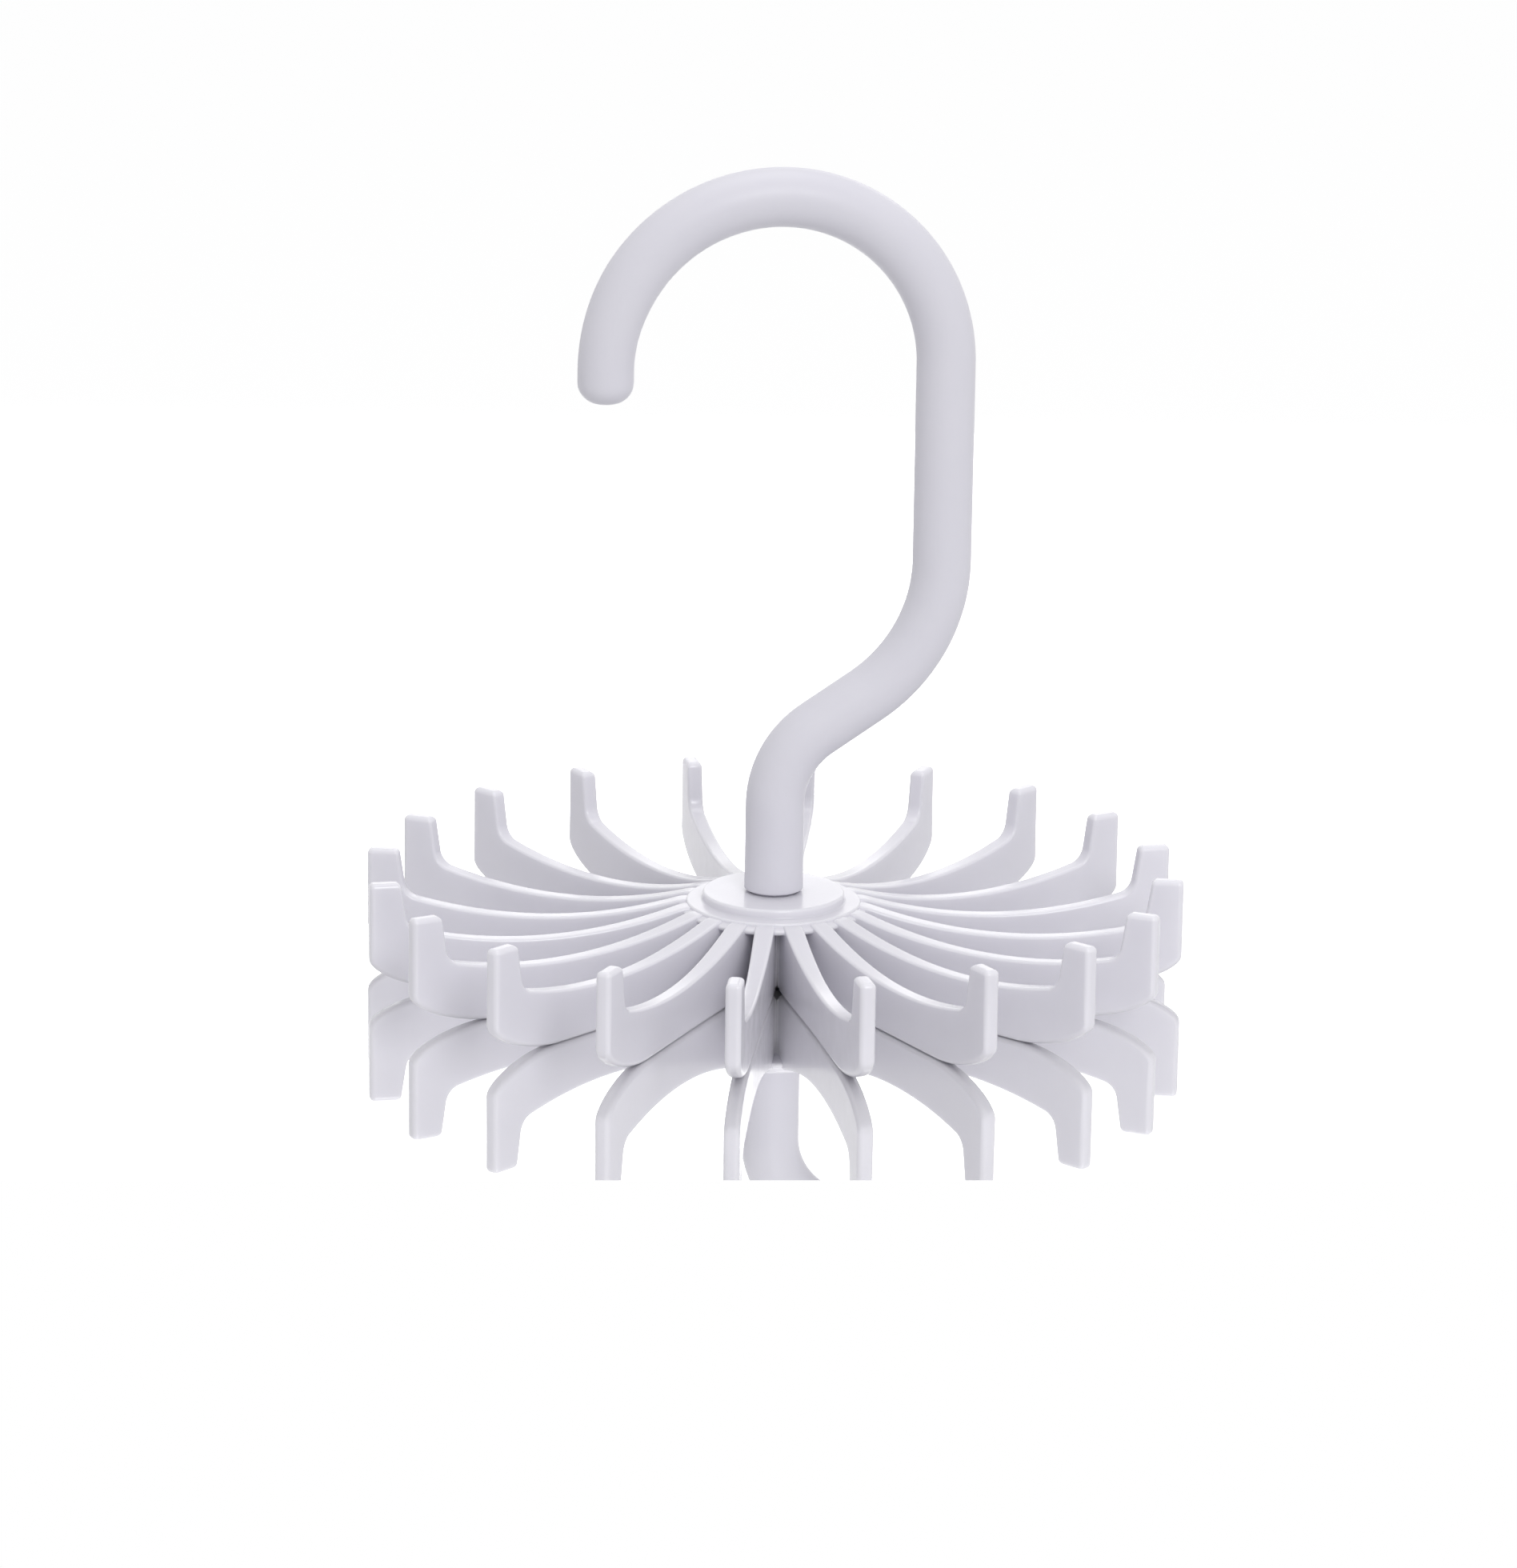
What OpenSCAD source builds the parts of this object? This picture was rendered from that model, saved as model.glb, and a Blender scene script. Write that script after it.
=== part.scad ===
// Rotating tie hanger: a wheel of upturned claws that turns under a round-rod hook.
// Sizes are in millimetres. The wheel turns about Z, its claws stand on z = 0,
// and the hook lies in the XZ plane.

/* [Wheel] */
// Radius over the outer faces of the claws
wheel_r = 67.5; // [62:0.5:90]
// Number of claws round the hub
claw_count = 20; // [10:1:24]
// Direction of the first claw, turned from +X towards +Y
first_claw_angle = 2.5; // [0:0.1:36]

/* [Claw] */
// Thickness of a claw's plate
claw_t = 2.6; // [2:0.1:3.2]
// Height of a claw's post above the floor
claw_h = 18.6; // [16:0.1:26]
// Width of the post at its top, along the radius
post_top_w = 5.1; // [4:0.1:7]
// Lean of the post's inner face from upright
post_lean = 8.8; // [2:0.1:18]
// Radius of the arc along the top of an arm
arm_arc_r = 79; // [72:1:110]
// Distance from the axis to the lowest point of that arc
arm_dip_r = 40.5; // [36:0.5:46]
// Height of the arm at its lowest point
arm_dip_h = 8.1; // [6:0.1:9]
// Fillet between the arm and the post
crook_r = 3; // [1.5:0.1:4]
// Radius of the round outer corner that stands on the floor
toe_r = 8; // [5:0.1:9]
// Rounding along the edges of the plate
edge_r = 0.8; // [0.3:0.1:0.9]

/* [Hub] */
// Radius of the hub's wall, which the claws grow from
hub_r = 11.7; // [11.2:0.1:13]
// Thickness of the hub's wall
hub_wall = 1.8; // [1.2:0.1:2.4]
// Height of the hub's lower rim above the floor
rim_lift = 1.6; // [0.5:0.1:3]
// Radius of the flange over the roots of the claws
flange_r = 14.4; // [13.5:0.1:18]
// Thickness of the flange
flange_t = 1.6; // [1.2:0.1:2.5]
// Rounding of the flange's upper edge
flange_round = 0.8; // [0.3:0.1:1]
// Radius of the raised disc under the hook
disc_r = 11.7; // [9:0.1:12.5]
// Height of the raised disc above the flange
disc_h = 1.5; // [0.8:0.1:3]
// Rounding of the disc's upper edge
disc_round = 0.5; // [0.2:0.1:0.7]
// Thickness of the hub's top, from the disc's face down to the hollow
hub_top_t = 4; // [3.5:0.1:5]

/* [Pivot] */
// Radius of the hook's journal
journal_r = 3.72; // [3:0.01:4]
// Radial clearance of the journal in its bore
journal_gap = 0.08; // [0.03:0.01:0.1]
// Length of the bore that the journal turns in
bore_l = 9.2; // [7:0.1:9.6]
// Wall of the sleeve round the bore
sleeve_wall = 2.2; // [1.5:0.1:2.5]
// Play between the hub and the shoulder above it, and the barb below it
end_play = 0.4; // [0.1:0.05:0.5]
// Width of the ledge by which the barb holds the hub
barb_ledge = 0.9; // [0.4:0.1:1.2]
// Height of the barb
barb_h = 2.6; // [1.5:0.1:2.8]
// Width of the slot that lets the barb spring through the bore
slot_w = 1.8; // [1:0.1:2.4]
// Length of the slot above the barb
slot_rise = 5; // [2:0.1:6]

/* [Hook] */
// Diameter of the hook's rod
rod_d = 9.7; // [8:0.1:11]
// Length of the upright stem above the hub
stem_l = 14.4; // [8:0.1:25]
// Turn of the lower and the upper bend
bend_angle = 56.7; // [40:0.1:70]
// Centre-line radius of the lower bend
lower_bend_r = 15.1; // [10:0.1:18]
// Centre-line radius of the upper bend
upper_bend_r = 26.9; // [15:0.1:28]
// Distance of the shank from the wheel's axis
shank_offset = 27.1; // [25:0.1:32]
// Length of the straight shank
shank_l = 32.8; // [20:0.1:60]
// Centre-line radius of the arc that hangs on the rail
crown_r = 27.9; // [22:0.1:32]
// Length of the straight end beyond the arc, with its round tip
tip_l = 4.2; // [4.1:0.1:20]
// Rounding of the tip
tip_round = 3.4; // [1:0.1:4]

/* [Hidden] */
$fn = 96;
// Straight steps in each quarter of a rounded edge
edge_steps = 3;
// Straight steps in the rounding of the tip
tip_steps = 6;
// Length by which a cutting shape passes the face that it cuts, and a buried end its neighbour's face
cut_over = 1;
// Depth by which the crook's wedge is sunk into the arm and the post
crook_sink = 0.02;
// Play at both ends of a straight stretch of rod, which the ball over the joint closes
joint_play = 0.05;
// Height by which that ball stands over the rod
joint_over = 0.02;

function two_digits(i) = i < 10 ? str("0", i) : str(i);
function claw_name(i) = str("claw_", two_digits(i));

// The arc along the top of an arm, about the point arm_arc_c in the plate's plane
arm_arc_c = [arm_dip_r, arm_dip_h + arm_arc_r];
function arm_top(r) = arm_arc_c[1] - sqrt(pow(arm_arc_r, 2) - pow(arm_arc_c[0] - r, 2));

// The post's inner face, through post_top, along post_up
post_top = [wheel_r - post_top_w, claw_h];
post_up = [sin(post_lean), cos(post_lean)];
post_in = [cos(post_lean), -sin(post_lean)];

// The fillet touches the inner face, and touches the arc from inside. Its centre lies on a line
// beside the face, at the place where the distance to the arc's centre is the arc's radius less its own.
crook_line = post_top - crook_r * post_in - arm_arc_c;
crook_b = crook_line * post_up;
crook_d = crook_line * crook_line - pow(arm_arc_r - crook_r, 2);
crook_up = -crook_b - sqrt(crook_b * crook_b - crook_d);
crook_c = post_top - crook_r * post_in + crook_up * post_up;
crook_down = (crook_c - arm_arc_c) / (arm_arc_r - crook_r);
crook_angle = atan2(crook_down[1], crook_down[0]);

toe_c = [wheel_r - toe_r, toe_r];
// Depth that reaches through the plate from any point of its outline
plate_depth = claw_h + toe_r;

// Heights of the hub, which is flush with the arms at the flange's edge
flange_z = arm_top(flange_r);
flange_low_z = flange_z - flange_t;
disc_z = flange_z + disc_h;
hollow_z = disc_z - hub_top_t;
bore_r = journal_r + journal_gap;
sleeve_r = bore_r + sleeve_wall;
bore_low_z = disc_z - bore_l;

// Heights of the hook's pivot
shoulder_z = disc_z + end_play;
barb_z = bore_low_z - end_play;
barb_r = bore_r + barb_ledge;
barb_tip_r = bore_r - slot_w / 2;

// The hook's centre line: points and centres of bends, as X and Z
rod_r = rod_d / 2;
bend_run = (lower_bend_r + upper_bend_r) * (1 - cos(bend_angle));
slope_l = (shank_offset - bend_run) / sin(bend_angle);
slope_dir = [sin(bend_angle), cos(bend_angle)];
stem_top = [0, shoulder_z + stem_l];
lower_bend_c = stem_top + [lower_bend_r, 0];
slope_low = lower_bend_c + lower_bend_r * [-cos(bend_angle), sin(bend_angle)];
slope_high = slope_low + slope_l * slope_dir;
upper_bend_c = slope_high + upper_bend_r * [-cos(bend_angle), sin(bend_angle)];
shank_low = upper_bend_c + [upper_bend_r, 0];
shank_high = shank_low + [0, shank_l];
crown_c = shank_high - [crown_r, 0];
tip_top = crown_c - [crown_r, 0];

// Points along an arc about c
function arc_points(c, r, from, to, steps) = [
    for (i = [0:steps])
        let (a = from + (to - from) * i / steps)
        c + r * [cos(a), sin(a)]
];

// Cross-section of the plate: x is the depth from a rounded edge, y lies across the thickness
function edge_section(depth) = concat(
    [[depth, -claw_t / 2]],
    arc_points([edge_r, edge_r - claw_t / 2], edge_r, 270, 180, edge_steps),
    arc_points([edge_r, claw_t / 2 - edge_r], edge_r, 180, 90, edge_steps),
    [[depth, claw_t / 2]]
);

// The same section seen from beyond the edge, at the distance at from the origin
function edge_section_from(at, depth) = [for (p = edge_section(depth)) [at - p[0], p[1]]];

// Places what is drawn about Z so that it turns in the plate's plane about the point c
module about(c, from) {
    translate([c[0], 0, c[1]])
        rotate([90, 0, 0])
            rotate([0, 0, from])
                children();
}

// The plate inside its sole, toe and outer face, with those edges rounded
module claw_outside() {
    translate([toe_c[0], 0, 0])
        rotate([0, -90, 0])
            linear_extrude(toe_c[0])
                polygon(edge_section(claw_h));
    about(toe_c, -90)
        rotate_extrude(angle = 90)
            polygon(edge_section_from(toe_r, toe_r));
    translate([wheel_r, 0, toe_c[1]])
        linear_extrude(claw_h - toe_c[1])
            polygon(edge_section_from(0, toe_r));
}

// The plate beyond the arm's top edge, the crook and the post's inner face, with those edges rounded
module claw_inside() {
    about(arm_arc_c, -180)
        rotate_extrude(angle = 180)
            polygon([for (p = edge_section(plate_depth)) [arm_arc_r + p[0], p[1]]]);
    about(crook_c + crook_sink * (crook_down + post_in), crook_angle)
        rotate_extrude(angle = -post_lean - crook_angle)
            polygon([for (p = edge_section(crook_r)) [crook_r + p[0], p[1]]]);
    translate([post_top[0], 0, post_top[1]])
        rotate([0, post_lean, 0])
            translate([0, 0, -plate_depth])
                linear_extrude(2 * plate_depth)
                    polygon(edge_section(plate_depth));
}

// The plate below the post's rounded top
module claw_below_top() {
    translate([wheel_r + cut_over, 0, 0])
        rotate([0, -90, 0])
            linear_extrude(wheel_r + cut_over)
                polygon(edge_section_from(claw_h, claw_h + cut_over));
}

// The room that the hub takes out of the claws' roots
module hub_room() {
    translate([0, 0, -cut_over])
        cylinder(r = hub_r, h = claw_h + 2 * cut_over);
    translate([0, 0, flange_low_z])
        cylinder(r = flange_r, h = claw_h);
}

// One claw: an arm that stands on its lower edge and turns up into a post
module claw(i) {
    color([0.85, 0.84, 0.87])
        rotate([0, 0, first_claw_angle + (i - 1) * 360 / claw_count])
            difference() {
                intersection() {
                    claw_outside();
                    claw_inside();
                    claw_below_top();
                }
                hub_room();
            }
}

// The hub: wall, flange and raised disc round the sleeve that the hook turns in, hollow from below
module hub() {
    section = concat(
        [
            [bore_r, bore_low_z],
            [sleeve_r, bore_low_z],
            [sleeve_r, hollow_z],
            [hub_r - hub_wall, hollow_z],
            [hub_r - hub_wall, rim_lift],
            [hub_r, rim_lift],
            [hub_r, flange_low_z],
            [flange_r, flange_low_z]
        ],
        arc_points([flange_r - flange_round, flange_z - flange_round], flange_round, 0, 90, edge_steps),
        [[disc_r, flange_z]],
        arc_points([disc_r - disc_round, disc_z - disc_round], disc_round, 0, 90, edge_steps),
        [[bore_r, disc_z]]
    );
    color([0.85, 0.84, 0.87])
        rotate_extrude()
            polygon(section);
}

// A straight stretch of rod from the point p, at an angle from upright
module rod_straight(p, lean, l) {
    translate([p[0], 0, p[1]])
        rotate([0, lean, 0])
            translate([0, 0, joint_play])
                cylinder(r = rod_r, h = l - 2 * joint_play);
}

// A bent stretch of rod about the centre c
module rod_bend(c, r, from, turn) {
    about(c, from)
        rotate_extrude(angle = turn)
            translate([r, 0])
                circle(r = rod_r);
}

// A ball over the joint between two stretches of rod
module rod_joint(p) {
    translate([p[0], 0, p[1]])
        sphere(r = rod_r + joint_over);
}

// The rounded end of the rod, which points down
module rod_tip() {
    section = concat(
        [[0, -tip_l]],
        arc_points([rod_r - tip_round, tip_round - tip_l], tip_round, -90, 0, tip_steps),
        [[rod_r, -joint_play], [0, -joint_play]]
    );
    translate([tip_top[0], 0, tip_top[1]])
        rotate_extrude()
            polygon(section);
}

// The pivot under the stem: a journal that ends in a barb, split so that it springs through the bore
module pivot() {
    difference() {
        rotate_extrude()
            polygon([
                [0, shoulder_z + cut_over],
                [journal_r, shoulder_z + cut_over],
                [journal_r, barb_z],
                [barb_r, barb_z],
                [barb_tip_r, barb_z - barb_h],
                [0, barb_z - barb_h]
            ]);
        translate([-barb_r - cut_over, -slot_w / 2, barb_z - barb_h - cut_over])
            cube([2 * (barb_r + cut_over), slot_w, barb_h + slot_rise + cut_over]);
    }
}

// The hook: one rod from the pivot up through two bends to the arc that hangs on the rail
module hook() {
    color([0.84, 0.83, 0.86]) {
        pivot();
        translate([0, 0, shoulder_z])
            cylinder(r = rod_r, h = stem_l - joint_play);
        rod_bend(lower_bend_c, lower_bend_r, 180 - bend_angle, bend_angle);
        rod_straight(slope_low, bend_angle, slope_l);
        rod_bend(upper_bend_c, upper_bend_r, -bend_angle, bend_angle);
        rod_straight(shank_low, 0, shank_l);
        rod_bend(crown_c, crown_r, 0, 180);
        rod_tip();
        for (p = [stem_top, slope_low, slope_high, shank_low, shank_high, tip_top])
            rod_joint(p);
    }
}

hook();
hub();
for (i = [1:claw_count]) claw(i);
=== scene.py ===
import math

import bmesh
import bpy
from mathutils import Matrix, Vector


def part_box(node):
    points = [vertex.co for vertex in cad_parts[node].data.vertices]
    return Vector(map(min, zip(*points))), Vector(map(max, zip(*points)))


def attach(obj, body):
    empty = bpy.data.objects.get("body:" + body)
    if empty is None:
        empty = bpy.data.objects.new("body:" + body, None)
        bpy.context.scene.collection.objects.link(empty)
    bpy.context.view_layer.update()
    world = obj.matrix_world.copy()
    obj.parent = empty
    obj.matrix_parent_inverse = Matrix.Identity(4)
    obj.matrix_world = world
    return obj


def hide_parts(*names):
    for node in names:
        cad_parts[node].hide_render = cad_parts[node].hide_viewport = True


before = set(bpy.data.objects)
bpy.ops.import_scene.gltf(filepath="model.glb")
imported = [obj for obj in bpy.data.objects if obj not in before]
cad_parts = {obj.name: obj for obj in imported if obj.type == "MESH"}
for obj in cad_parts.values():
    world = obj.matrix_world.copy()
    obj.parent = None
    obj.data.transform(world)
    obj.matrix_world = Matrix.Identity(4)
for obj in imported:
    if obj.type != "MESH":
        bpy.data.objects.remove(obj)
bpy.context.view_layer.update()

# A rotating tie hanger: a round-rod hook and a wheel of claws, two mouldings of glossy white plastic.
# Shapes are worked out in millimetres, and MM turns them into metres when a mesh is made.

MM = 0.001


def frame_box(node):
    """The lowest and highest corner of a CAD node, in millimetres."""
    low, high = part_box(node)
    return low / MM, high / MM


claw_names = sorted(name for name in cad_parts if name.startswith("claw_"))
hub_low, hub_high = frame_box("hub")
hook_low, hook_high = frame_box("hook")
claw_high = frame_box(claw_names[0])[1]

# Wheel and its claws, the first of which stands at first_claw_angle from +X
wheel_r = 67.5
first_claw_angle = 2.5
claw_t = 2.6
claw_h = claw_high.z
post_top_w = 5.1
post_lean = math.radians(8.8)

# A claw's upper edge: an arc that is lowest at arm_dip_r, and a fillet from there into the post
arm_arc_r = 79.0
arm_dip_r = 40.5
arm_dip_h = 8.1
crook_r = 3.0

# A claw's lower edge rises at the toe in a quarter of a superellipse
toe_l = 14.9
toe_h = 5.6
toe_fullness = 1.67

# A claw's root: its sides grow thicker towards the hub and flare into the hub's wall
root_swell = 0.3
root_swell_l = 22
flare_r = 0.35
flare_gap = 0.03
root_corner_r = 0.8
root_low_z = hub_low.z + 0.6

# Rounding along a claw's outer and upper edges
edge_r = 0.85
top_edge_r = 0.5

# Hub
hub_r = 11.7
hub_wall = 1.8
hub_top_t = 4.0
rim_z = hub_low.z
disc_z = hub_high.z
disc_h = 1.5
disc_r = 11.7
flange_z = disc_z - disc_h
flange_t = 1.6
flange_r = hub_high.x
flange_edge = 0.4
hollow_z = disc_z - hub_top_t

# The skirt under the flange's edge closes the narrow ends of the gaps between the arms
skirt_r = 15.6
skirt_drop = 0.62

# How far below the flange's face the arms' upper edges run in
arm_drop = 0.3

# Sleeve round the pivot's bore
bore_r = 3.8
bore_l = 9.2
bore_low_z = disc_z - bore_l
sleeve_wall = 2.2
sleeve_r = bore_r + sleeve_wall

# Pivot under the hook: a journal, and a split barb that snaps through the bore
journal_r = 3.72
end_play = 0.4
shoulder_z = disc_z + end_play
barb_ledge = 0.9
barb_r = bore_r + barb_ledge
barb_z = bore_low_z - end_play
barb_low_z = hook_low.z
barb_lead = 0.9
barb_tip_r = bore_r - barb_lead
slot_w = 1.8
slot_rise = 5.0
slot_top_z = barb_z + slot_rise

# Hook
rod_r = 4.85
stem_l = 14.4
bend_angle = math.radians(56.7)
lower_bend_r = 15.1
upper_bend_r = 26.9
crown_r = 27.9
shank_x = hook_high.x - rod_r
stem_top_z = shoulder_z + stem_l
shank_top_z = hook_high.z - crown_r - rod_r
tip_l = 5.2
tip_r = 4.6
tip_round = 3.5

# Height and width of the lines that the mould leaves along both sides of the rod
parting_h = 0.04
parting_w = 0.22

# Points nearer than weld are one, and a section just inside the hub's wall stands a hair in from it
weld = 0.002
hair = 0.02

# The arc along the top of an arm has its centre here
arm_arc_z = arm_dip_h + arm_arc_r

# Directions along the post's inner face and square to it, and the point at its top
post_up = Vector((math.sin(post_lean), math.cos(post_lean)))
post_in = Vector((math.cos(post_lean), -math.sin(post_lean)))
post_top = Vector((wheel_r - post_top_w, claw_h))


def crook_centre():
    """Centre of the fillet that touches the post's inner face, and the arm's arc from inside."""
    line = post_top - crook_r * post_in - Vector((arm_dip_r, arm_arc_z))
    b = line.dot(post_up)
    d = line.dot(line) - (arm_arc_r - crook_r) ** 2
    return post_top - crook_r * post_in + (-b - math.sqrt(b * b - d)) * post_up


crook_c = crook_centre()
crook_start = crook_c + (crook_c - Vector((arm_dip_r, arm_arc_z))).normalized() * crook_r


def arc(centre, r, start, end, steps):
    """Points along an arc about centre, from one angle to another in radians."""
    angles = [start + (end - start) * i / steps for i in range(steps + 1)]
    return [Vector((centre[0] + r * math.cos(a), centre[1] + r * math.sin(a))) for a in angles]


def ease(x):
    """Rises smoothly from 0 at 0 to 1 at 1."""
    x = min(max(x, 0.0), 1.0)
    return x * x * (3 - 2 * x)


# Meshes

def new_object(name, bm):
    """An object in the scene from a bmesh in millimetres."""
    bmesh.ops.scale(bm, vec=(MM, MM, MM), verts=bm.verts)
    bmesh.ops.recalc_face_normals(bm, faces=bm.faces)
    mesh = bpy.data.meshes.new(name)
    bm.to_mesh(mesh)
    bm.free()
    thing = bpy.data.objects.new(name, mesh)
    bpy.context.scene.collection.objects.link(thing)
    return thing


def bridge(bm, ring_a, ring_b):
    """Faces between two rings of as many vertices."""
    n = len(ring_a)
    for i in range(n):
        j = (i + 1) % n
        bm.faces.new((ring_a[i], ring_a[j], ring_b[j], ring_b[i]))


def skin(bm, rings):
    """A closed skin over rings of points, with a flat face at each end."""
    made = [[bm.verts.new(p) for p in ring] for ring in rings]
    for a, b in zip(made, made[1:]):
        bridge(bm, a, b)
    bm.faces.new(list(reversed(made[0])))
    bm.faces.new(made[-1])


def combine(thing, other, operation):
    """Joins another object to this one, or cuts it away, and removes the other."""
    step = thing.modifiers.new("combine", "BOOLEAN")
    step.operation = operation
    step.solver = "EXACT"
    step.object = other
    result = bpy.data.meshes.new_from_object(
        thing.evaluated_get(bpy.context.evaluated_depsgraph_get())
    )
    thing.modifiers.clear()
    thing.data = result
    bpy.data.objects.remove(other)


def finish_surface(thing, sharp_degrees):
    """Welds stray points and shades the piece smooth, apart from its sharp edges."""
    bm = bmesh.new()
    bm.from_mesh(thing.data)
    bmesh.ops.remove_doubles(bm, verts=bm.verts, dist=weld * MM)
    bmesh.ops.dissolve_degenerate(bm, edges=bm.edges, dist=weld * MM)
    for face in bm.faces:
        face.smooth = True
    for edge in bm.edges:
        sharp = len(edge.link_faces) == 2 and edge.calc_face_angle(0) > math.radians(sharp_degrees)
        edge.smooth = not sharp
    bm.to_mesh(thing.data)
    bm.free()
    weighted = thing.modifiers.new("weighted_normals", "WEIGHTED_NORMAL")
    weighted.keep_sharp = True
    weighted.weight = 60


# Hook

def rod_angles():
    """Angles round the rod, closer together at the two parting lines of the mould."""
    half = math.degrees(parting_w / 2 / rod_r)
    beside, spacing = 2.2 * half, 7.5
    half_round = [-beside, -half, half, beside]
    half_round += [spacing * k for k in range(1, round(180 / spacing))]
    return [math.radians(side + a) for side in (0, 180) for a in half_round]


def rod_ring(x, z, lean, r, lined):
    """A ring round the rod's centre line, which leans from upright towards +X.

    Where lined is 1 the two parting lines stand proud, and where it is 0 the ring is round.
    """
    line_reach = 0.8 * parting_w / rod_r
    ring = []
    for a in rod_angles():
        on_line = abs(math.remainder(a, math.pi)) < line_reach
        at_r = r if on_line else r - parting_h * lined
        side, front = at_r * math.cos(a), at_r * math.sin(a)
        ring.append((x + side * math.cos(lean), front, z - side * math.sin(lean)))
    return ring


def hook_route():
    """Stations along the hook: x, z, lean, radius and whether the parting line shows there."""
    stations = []

    def upright(points, lined):
        """Rings round the wheel's axis, from points of radius and height."""
        stations.extend((0.0, p[1], 0.0, p[0], lined) for p in points)

    # The barb, from its round nose to the ledge
    nose, land = 0.5, 0.25
    bevel_w, bevel_h = 0.15, 0.2
    upright(arc((barb_tip_r - nose, barb_low_z + nose), nose, -math.pi / 2, 0, 4), 0)
    upright([(barb_r - bevel_w, barb_z - land - bevel_h), (barb_r, barb_z - land), (barb_r, barb_z)], 0)

    # The journal, with a ring near its top that keeps its shading even
    near = 1.0
    upright([(journal_r, barb_z), (journal_r, shoulder_z - near), (journal_r, shoulder_z)], 0)

    # The stem, on which the parting lines grow between two heights over the shoulder
    edge = 0.35
    line_from, line_full, stem_middle = 1.2, 2.4, 7.0
    upright(arc((rod_r - edge, shoulder_z + edge), edge, -math.pi / 2, 0, 4), 0)
    upright([(rod_r, shoulder_z + line_from)], 0)
    upright([(rod_r, z) for z in (shoulder_z + line_full, shoulder_z + stem_middle, stem_top_z)], 1)

    def bend(centre, r, start, turn, steps, slimmer=0.0):
        """Rings about a centre, from one lean of the centre line through a turn.

        Over its last fifth the rod may grow slimmer.
        """
        sign = 1 if turn > 0 else -1
        for k in range(1, steps + 1):
            lean = start + turn * k / steps
            x = centre[0] - sign * r * math.cos(lean)
            z = centre[1] + sign * r * math.sin(lean)
            stations.append((x, z, lean, rod_r - slimmer * ease(5 * k / steps - 4), 1))

    bend((lower_bend_r, stem_top_z), lower_bend_r, 0, bend_angle, steps=22)
    slope_low = (stations[-1][0], stations[-1][1])
    run = (lower_bend_r + upper_bend_r) * (1 - math.cos(bend_angle))
    slope_l = (shank_x - run) / math.sin(bend_angle)
    slope_high = (
        slope_low[0] + slope_l * math.sin(bend_angle),
        slope_low[1] + slope_l * math.cos(bend_angle),
    )
    slope_steps = 3
    for k in range(1, slope_steps + 1):
        share = k / slope_steps
        x = slope_low[0] + (slope_high[0] - slope_low[0]) * share
        z = slope_low[1] + (slope_high[1] - slope_low[1]) * share
        stations.append((x, z, bend_angle, rod_r, 1))
    upper_c = (
        slope_high[0] - upper_bend_r * math.cos(bend_angle),
        slope_high[1] + upper_bend_r * math.sin(bend_angle),
    )
    bend(upper_c, upper_bend_r, bend_angle, -bend_angle, steps=28)
    shank_low_z = stations[-1][1]
    shank_steps = 6
    for k in range(1, shank_steps + 1):
        z = shank_low_z + (shank_top_z - shank_low_z) * k / shank_steps
        stations.append((shank_x, z, 0.0, rod_r, 1))

    crown_c = (shank_x - crown_r, shank_top_z)
    bend(crown_c, crown_r, 0, -math.pi, steps=85, slimmer=rod_r - tip_r)
    tip_x = crown_c[0] - crown_r
    round_z = shank_top_z - tip_l + tip_round
    stations.append((tip_x, round_z, -math.pi, tip_r, 1))
    for p in arc((tip_r - tip_round, 0), tip_round, 0, math.pi / 2, 12)[1:]:
        stations.append((tip_x, round_z - p[1], -math.pi, p[0], 1 - p[1] / tip_round))
    return stations


def make_hook():
    """The rod with its pivot, and the slot that lets the barb spring through the hub."""
    bm = bmesh.new()
    skin(bm, [rod_ring(*station) for station in hook_route()])
    hook = new_object("hook_moulding", bm)
    bm = bmesh.new()
    half = slot_w / 2
    past = 1
    below = [(half, barb_low_z - past), (-half, barb_low_z - past)]
    outline = below + [tuple(p) for p in reversed(arc((0, slot_top_z - half), half, 0, math.pi, 12))]
    skin(bm, [[(x, p[0], p[1]) for p in outline] for x in (-barb_r - past, barb_r + past)])
    combine(hook, new_object("slot_cutter", bm), "DIFFERENCE")
    finish_surface(hook, sharp_degrees=32)
    return hook


# Wheel

def revolve(name, profile, steps):
    """A ring from a closed profile of radius and height, turned about Z."""
    bm = bmesh.new()
    rings = []
    for k in range(steps):
        a = 2 * math.pi * k / steps
        rings.append([bm.verts.new((p[0] * math.cos(a), p[0] * math.sin(a), p[1])) for p in profile])
    for k in range(steps):
        bridge(bm, rings[k], rings[(k + 1) % steps])
    return new_object(name, bm)


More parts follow.
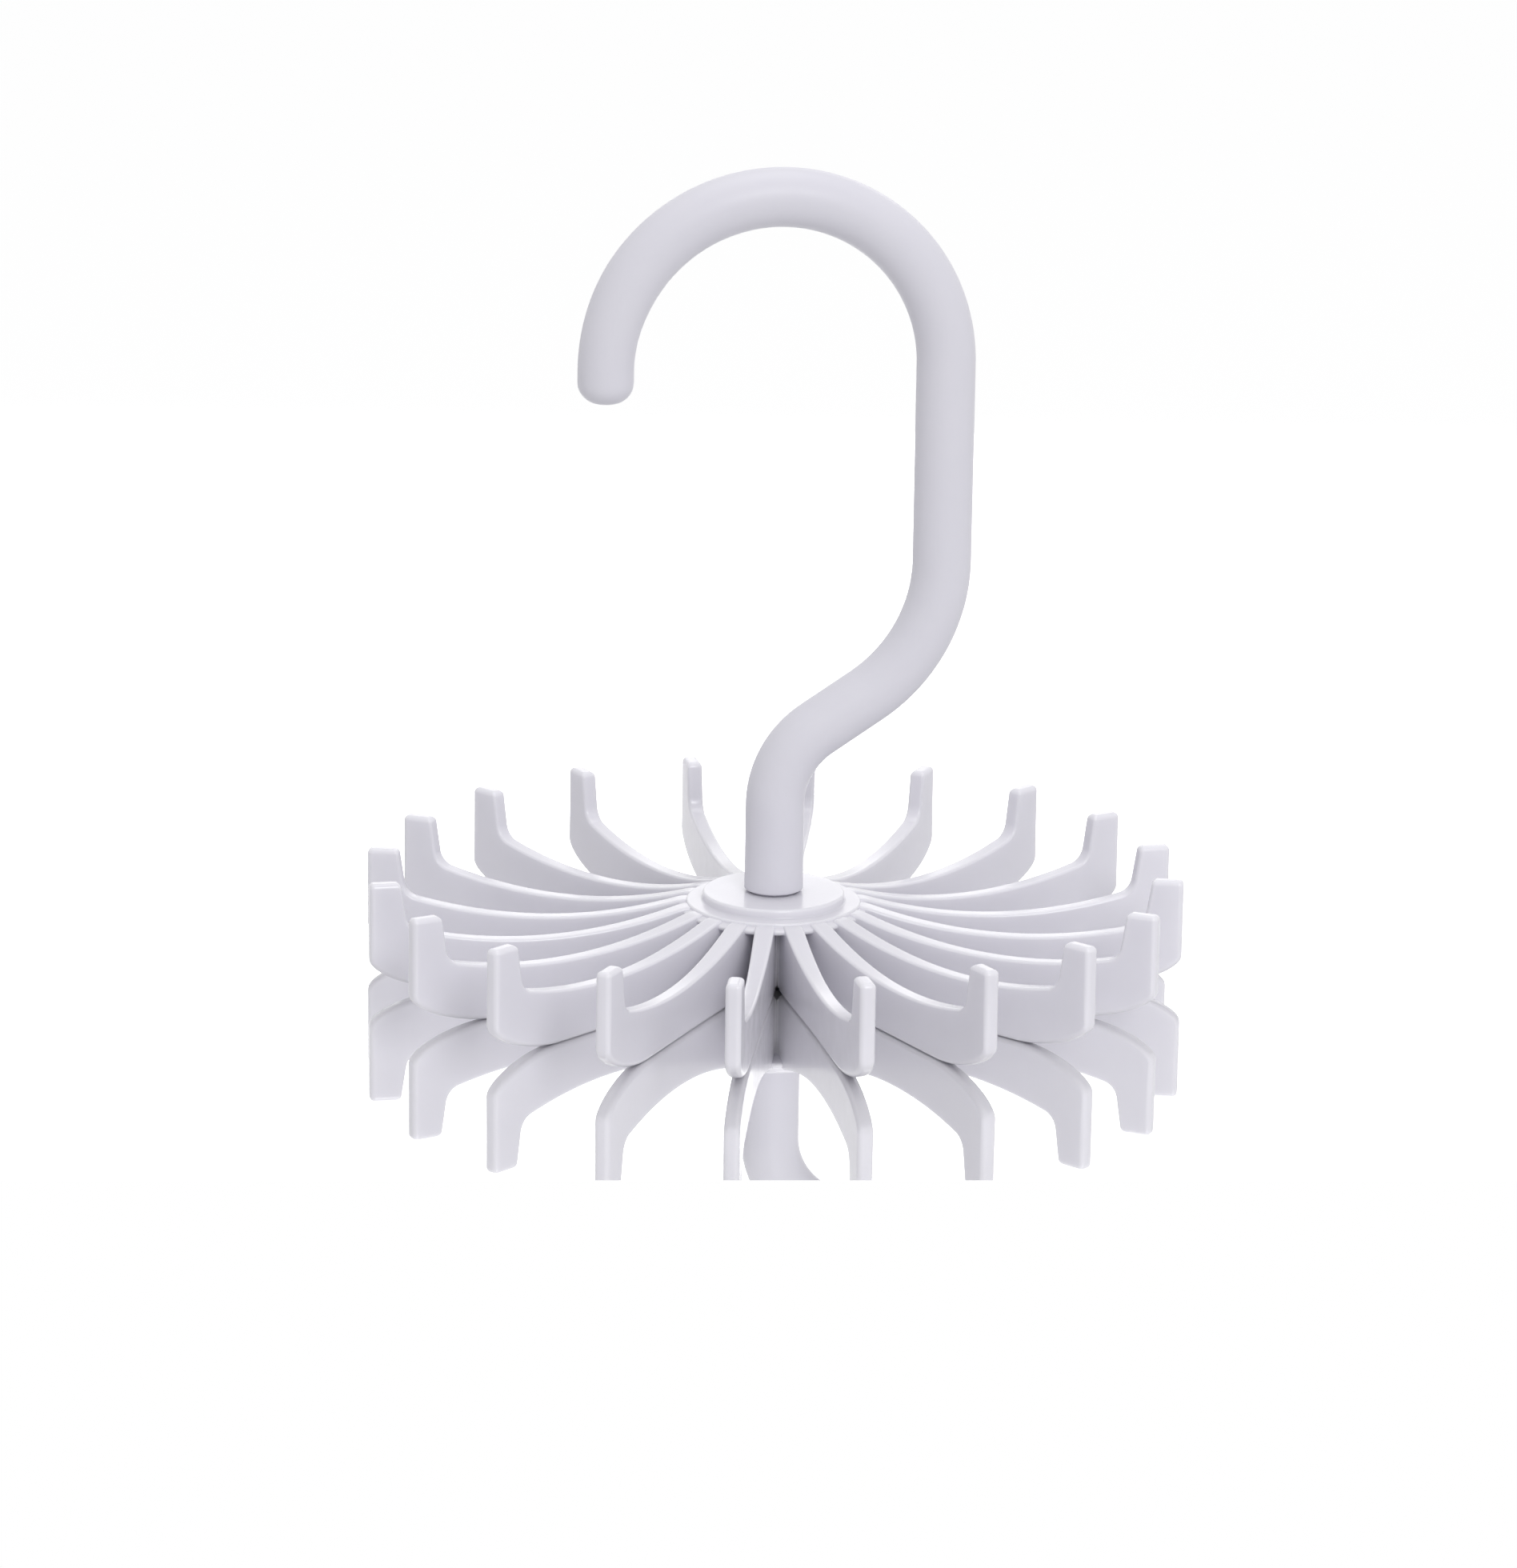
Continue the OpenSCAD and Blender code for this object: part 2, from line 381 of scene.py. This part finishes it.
def hub_profile():
    """The hub's section: sleeve, hollow, wall with its lower rim, skirt, flange and raised disc."""
    quarter = math.pi / 2

    lead = 0.3
    bore = [Vector((bore_r, disc_z - lead)), Vector((bore_r, bore_low_z + lead))]
    bore += [Vector((bore_r + lead, bore_low_z))]
    sleeve = arc((sleeve_r - lead, bore_low_z + lead), lead, -quarter, 0, 4)

    wall_r = hub_r - hub_wall
    inner, rim = 0.5, 0.4
    roof = arc((sleeve_r + inner, hollow_z - inner), inner, math.pi, quarter, 5)
    roof += arc((wall_r - inner, hollow_z - inner), inner, quarter, 0, 5)
    wall = arc((wall_r + rim, rim_z + rim), rim, math.pi, 3 * quarter, 4)
    wall += arc((hub_r - rim, rim_z + rim), rim, -quarter, 0, 4)

    # The skirt's underside lies a little below the flange's, and falls towards the hub's wall
    skirt_edge, skirt_turn, cove = 0.45, 0.9, 0.2
    lower, fall = 0.1, 0.5
    skirt_low_z = flange_z - flange_t - lower
    skirt_c = (skirt_r - skirt_edge, skirt_low_z + skirt_edge)
    skirt = [Vector((hub_r, skirt_low_z - fall))] + arc(skirt_c, skirt_edge, -quarter, skirt_turn, 7)
    skirt += arc((flange_r + cove, flange_z - skirt_drop + cove), cove, -quarter, -2 * quarter, 4)
    flange = arc((flange_r - flange_edge, flange_z - flange_edge), flange_edge, 0, quarter, 6)

    foot, disc_edge = 0.35, 0.5
    disc = arc((disc_r + foot, flange_z + foot), foot, -quarter, -2 * quarter, 5)
    disc += arc((disc_r - disc_edge, disc_z - disc_edge), disc_edge, 0, quarter, 7)
    mouth = [Vector((bore_r + lead, disc_z))]
    return bore + sleeve + roof + wall + skirt + flange + disc + mouth


def arm_top(r):
    """Height of the arm's upper edge, which runs out level a little below the flange's face."""
    on_arc = arm_arc_z - math.sqrt(arm_arc_r**2 - (arm_dip_r - r) ** 2)
    level = flange_z - arm_drop
    blend = 0.35
    if on_arc < level - blend:
        return on_arc
    if on_arc > level + blend:
        return level
    return on_arc - (on_arc - level + blend) ** 2 / (4 * blend)


def arm_low(r):
    """Height of the arm's lower edge, which turns up at the hub's wall and rises in a curve at the toe.

    Inside the wall it stays above the wall's lower rim.
    """
    if r < hub_r - hair / 2:
        return root_low_z
    if r < hub_r + root_corner_r:
        return root_corner_r - math.sqrt(max(root_corner_r**2 - (hub_r + root_corner_r - r) ** 2, 0))
    along = min(max((r - wheel_r + toe_l) / toe_l, 0.0), 1.0)
    return toe_h * (1 - (1 - along**toe_fullness) ** (1 / toe_fullness))


def half_thickness(r):
    """Half the plate's thickness, which grows a little towards the root and flares into the hub's wall."""
    plate = claw_t / 2 + root_swell * (1 - ease((r - flange_r) / root_swell_l))
    room = r * math.tan(math.pi / len(claw_names)) - flare_gap
    if r < hub_r:
        return room
    if r > hub_r + flare_r:
        return plate
    flare = flare_r - math.sqrt(max(flare_r**2 - (hub_r + flare_r - r) ** 2, 0))
    return min(room, plate + flare)


def outer_point(angle):
    """Where a ray from the crook's centre meets the sole, the toe or the outer face."""
    way = Vector((math.cos(angle), math.sin(angle)))
    inside, outside = 0.0, 40.0
    halvings = 40
    for _ in range(halvings):
        reach = (inside + outside) / 2
        at = crook_c + reach * way
        if at.x < wheel_r and at.y > arm_low(at.x):
            inside = reach
        else:
            outside = reach
    return crook_c + inside * way


def claw_stations():
    """Sections of a claw from its root to the top of its post.

    Each has its inner and outer point, half its thickness, and the rounding of its inner and outer edges.
    """
    # The sections of the root stand closer together where it flares into the hub's wall
    past_wall = [-1.0, -0.4, -hair, 0.0, 0.03, 0.1, 0.2, 0.3, 0.42, 0.6, 0.8, 1.2]
    skirt_start_r, skirt_spacing, skirt_sections = 13.3, 0.35, 12
    past_skirt_r = 18.0
    arm_start_r, arm_steps = 19.5, 22
    radii = [hub_r + d for d in past_wall]
    radii += [skirt_start_r + skirt_spacing * k for k in range(skirt_sections)]
    radii += [past_skirt_r, arm_start_r]
    radii += [arm_start_r + (crook_start.x - arm_start_r) * k / arm_steps for k in range(1, arm_steps)]

    # Towards the crook the sections tilt, until they point at the fillet's centre
    tilt_start_r = 40
    first = math.atan2(crook_start.y - crook_c.y, crook_start.x - crook_c.x)
    tilt = outer_point(first).x - crook_start.x
    stations = []
    for r in radii:
        shift = tilt * ease((r - tilt_start_r) / (crook_start.x - tilt_start_r))
        outer = Vector((r + shift, arm_low(r + shift)))
        stations.append((Vector((r, arm_top(r))), outer, half_thickness(r), top_edge_r, edge_r))

    # Round the crook they fan out from the fillet's centre
    fan_steps = 28
    for k in range(fan_steps + 1):
        a = first + (-post_lean - first) * k / fan_steps
        inner = crook_c + crook_r * Vector((math.cos(a), math.sin(a)))
        stations.append((inner, outer_point(a), claw_t / 2, top_edge_r, edge_r))

    # Up the post they grow level by the height where its top starts to round
    inner_low, outer_low = stations[-1][0], stations[-1][1]
    rise_top = claw_h - edge_r
    post_steps = 4
    for k in range(1, post_steps + 1):
        inner_z = inner_low.y + (rise_top - inner_low.y) * k / post_steps
        outer_z = outer_low.y + (rise_top - outer_low.y) * k / post_steps
        inner_x = post_top.x - (claw_h - inner_z) * math.tan(post_lean)
        inner, outer = Vector((inner_x, inner_z)), Vector((wheel_r, outer_z))
        stations.append((inner, outer, claw_t / 2, top_edge_r, edge_r))

    # Over the rounded top they shrink, and keep a least corner
    round_steps = 7
    least_corner = 0.06
    for k in range(1, round_steps + 1):
        a = math.pi / 2 * k / round_steps
        inset = edge_r * (1 - math.cos(a))
        z = rise_top + edge_r * math.sin(a)
        inner_x = post_top.x - (claw_h - z) * math.tan(post_lean) + inset
        corner = max(edge_r - inset, least_corner)
        inner, outer = Vector((inner_x, z)), Vector((wheel_r - inset, z))
        stations.append((inner, outer, claw_t / 2 - inset, min(top_edge_r, corner), corner))
    return stations


def claw_ring(inner, outer, half, corner_in, corner_out):
    """A rounded rectangle between the inner and the outer edge, as points along and across the plate."""
    along = inner - outer
    length = along.length
    along.normalize()
    quarter, steps = math.pi / 2, 5
    section = arc((length - corner_in, half - corner_in), corner_in, 0, quarter, steps)
    section += arc((corner_out, half - corner_out), corner_out, quarter, 2 * quarter, steps)
    section += arc((corner_out, corner_out - half), corner_out, 2 * quarter, 3 * quarter, steps)
    section += arc((length - corner_in, corner_in - half), corner_in, 3 * quarter, 4 * quarter, steps)
    points = []
    for p in section:
        at = outer + along * p[0]
        points.append(Vector((at.x, p[1], at.y)))
    return points


def make_wheel():
    """The hub and its claws as the one moulding that they are."""
    steps_per_claw = 6
    wheel = revolve("wheel_moulding", hub_profile(), steps_per_claw * len(claw_names))
    bm = bmesh.new()
    rings = [claw_ring(*station) for station in claw_stations()]
    for k in range(len(claw_names)):
        turn = Matrix.Rotation(math.radians(first_claw_angle + k * 360 / len(claw_names)), 3, "Z")
        skin(bm, [[turn @ p for p in ring] for ring in rings])
    combine(wheel, new_object("claws", bm), "UNION")
    finish_surface(wheel, sharp_degrees=38)
    return wheel


# Materials

def node_maker(material):
    """A function that adds a node with its settings and links its inputs."""
    tree = material.node_tree

    def add(kind, settings=None, **inputs):
        node = tree.nodes.new(kind)
        for key, value in (settings or {}).items():
            setattr(node, key, value)
        for key, value in inputs.items():
            socket = node.inputs[key.replace("_", " ")]
            if isinstance(value, bpy.types.NodeSocket):
                tree.links.new(value, socket)
            else:
                socket.default_value = value
        return node

    return add


def new_material(name):
    """A material with an empty node tree."""
    material = bpy.data.materials.new(name)
    material.use_nodes = True
    material.node_tree.nodes.clear()
    return material


def moulded_plastic(name, low, high, rough_low, rough_high, shine, milk):
    """Glossy white plastic: a faint clouding of its colour, an uneven polish and a trace of orange peel.

    Its colour lies between low and high and its roughness between rough_low and rough_high. Shine is the
    specular level, and milk the share of light that scatters under the surface.
    """
    material = new_material(name)
    add = node_maker(material)
    place = add("ShaderNodeTexCoord").outputs["Object"]
    cloud = add("ShaderNodeTexNoise", Vector=place, Scale=55.0, Detail=3.0, Roughness=0.55)
    tint = add("ShaderNodeValToRGB", Fac=cloud.outputs["Fac"])
    tint.color_ramp.elements[0].position = 0.3
    tint.color_ramp.elements[0].color = (*low, 1)
    tint.color_ramp.elements[1].position = 0.7
    tint.color_ramp.elements[1].color = (*high, 1)
    haze = add("ShaderNodeTexNoise", Vector=place, Scale=260.0, Detail=4.0, Roughness=0.6)
    polish = add("ShaderNodeMapRange", Value=haze.outputs["Fac"])
    polish.inputs["From Min"].default_value = 0.3
    polish.inputs["From Max"].default_value = 0.7
    polish.inputs["To Min"].default_value = rough_low
    polish.inputs["To Max"].default_value = rough_high
    peel = add("ShaderNodeTexNoise", Vector=place, Scale=900.0, Detail=2.0, Roughness=0.5)
    bump = add("ShaderNodeBump", Height=peel.outputs["Fac"], Strength=0.25, Distance=0.00004)
    shader = add(
        "ShaderNodeBsdfPrincipled",
        Base_Color=tint.outputs["Color"],
        Roughness=polish.outputs["Result"],
        Normal=bump.outputs["Normal"],
        IOR=1.49,
        Specular_IOR_Level=shine,
        Subsurface_Weight=milk,
        Subsurface_Radius=(1.0, 1.0, 1.0),
        Subsurface_Scale=0.002,
    )
    add("ShaderNodeOutputMaterial", Surface=shader.outputs["BSDF"])
    return material


def floor_material():
    """A pale polished sheet that mirrors what stands on it and keeps its shadow."""
    material = new_material("pale_floor")
    add = node_maker(material)
    matt = add("ShaderNodeBsdfDiffuse", Color=(0.96, 0.96, 0.97, 1))
    mirror = add("ShaderNodeBsdfAnisotropic", Color=(1, 1, 1, 1), Roughness=0.02)
    mixed = add("ShaderNodeMixShader", Fac=0.93)
    tree = material.node_tree
    tree.links.new(matt.outputs["BSDF"], mixed.inputs[1])
    tree.links.new(mirror.outputs["BSDF"], mixed.inputs[2])
    add("ShaderNodeOutputMaterial", Surface=mixed.outputs["Shader"])
    return material


# Stage

# The camera looks along +Y after this turn, because the photograph shows the hook's plane turned
view_turn = Matrix.Rotation(math.radians(-10.26), 3, "Z")


def add_floor():
    """The sheet that the hanger stands on. It ends where the photograph's mirror image is cut off."""
    front, back, side = -105.4, 1600.0, 900.0
    # Its front edge is level in the picture after this turn
    floor_turn = Matrix.Rotation(math.radians(-7.7), 3, "Z")
    bm = bmesh.new()
    corners = [(-side, front), (side, front), (side, back), (-side, back)]
    bm.faces.new([bm.verts.new((x, y, 0)) for x, y in corners])
    bmesh.ops.rotate(bm, verts=bm.verts, matrix=floor_turn)
    floor = new_object("floor", bm)
    floor.data.materials.append(floor_material())


def add_lamp(name, place, aim, size, power):
    """A soft rectangular lamp. Place and aim are as the camera sees the room, in metres like the size."""
    place, aim = view_turn @ Vector(place), view_turn @ Vector(aim)
    data = bpy.data.lights.new(name, "AREA")
    data.shape = "RECTANGLE"
    data.size, data.size_y = size
    data.energy = power
    lamp = bpy.data.objects.new(name, data)
    lamp.location = place
    lamp.rotation_euler = (aim - place).to_track_quat("-Z", "Y").to_euler()
    bpy.context.scene.collection.objects.link(lamp)


def add_world(level):
    """A white room to the camera and in reflections, which lights the hanger at a plain level."""
    world = bpy.data.worlds.new("white_room")
    bpy.context.scene.world = world
    world.use_nodes = True
    world.node_tree.nodes.clear()
    add = node_maker(world)
    rays = add("ShaderNodeLightPath").outputs

    def math_node(operation, a, b):
        """The result of a sum on a socket and another socket or number."""
        node = add("ShaderNodeMath", {"operation": operation})
        world.node_tree.links.new(a, node.inputs[0])
        if isinstance(b, bpy.types.NodeSocket):
            world.node_tree.links.new(b, node.inputs[1])
        else:
            node.inputs[1].default_value = b
        return node.outputs[0]

    seen = math_node("MAXIMUM", rays["Is Camera Ray"], rays["Is Glossy Ray"])
    seen = math_node("MAXIMUM", seen, rays["Is Transmission Ray"])
    # Light that a matt surface scatters and the floor then mirrors counts as room light
    unscattered = math_node("LESS_THAN", rays["Diffuse Depth"], 0.5)
    shown = math_node("MULTIPLY", seen, unscattered)
    strength = add("ShaderNodeMapRange", Value=shown)
    strength.inputs["To Min"].default_value = level
    strength.inputs["To Max"].default_value = 1.0
    room = add("ShaderNodeBackground", Color=(1, 1, 1, 1), Strength=strength.outputs["Result"])
    add("ShaderNodeOutputWorld", Surface=room.outputs["Background"])


def add_camera():
    """The photograph's view: a long lens from a little above, turned slightly about its axis."""
    pitch, roll = math.radians(15.74), math.radians(0.84)
    right = view_turn @ Vector((1, 0, 0))
    up = view_turn @ Vector((0, math.sin(pitch), math.cos(pitch)))
    away = view_turn @ Vector((0, math.cos(pitch), -math.sin(pitch)))
    x_axis = math.cos(roll) * right + math.sin(roll) * up
    y_axis = math.cos(roll) * up - math.sin(roll) * right
    eye = Vector((-192.8, -1049.8, 333.0))
    data = bpy.data.cameras.new("camera")
    data.lens = 155.05
    camera = bpy.data.objects.new("camera", data)
    turn = Matrix((x_axis, y_axis, -away)).transposed()
    camera.matrix_world = Matrix.Translation(eye * MM) @ turn.to_4x4()
    bpy.context.scene.collection.objects.link(camera)
    bpy.context.scene.camera = camera


bpy.context.scene.view_settings.view_transform = "Standard"
add_camera()
add_world(level=0.66)
add_lamp("top_light", place=(0, 0.3, 1.2), aim=(0, 0, 0), size=(0.8, 0.8), power=2.8)
add_lamp("back_light", place=(0, 1.9, 0.62), aim=(0, 0, 0.02), size=(1.6, 0.55), power=2.6)
add_lamp("front_light", place=(0.45, -1.23, 0.98), aim=(0, 0, 0.06), size=(0.6, 0.6), power=9.0)
add_floor()

hook = make_hook()
hook.data.materials.append(
    moulded_plastic(
        "hook_plastic",
        low=(0.68, 0.67, 0.735),
        high=(0.70, 0.69, 0.75),
        rough_low=0.32,
        rough_high=0.42,
        shine=0.25,
        milk=0.2,
    )
)
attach(hook, "hook")
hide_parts("hook")

wheel = make_wheel()
wheel.data.materials.append(
    moulded_plastic(
        "wheel_plastic",
        low=(0.72, 0.71, 0.765),
        high=(0.74, 0.73, 0.785),
        rough_low=0.18,
        rough_high=0.26,
        shine=0.5,
        milk=0.5,
    )
)
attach(wheel, "wheel")
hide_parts("hub", *claw_names)
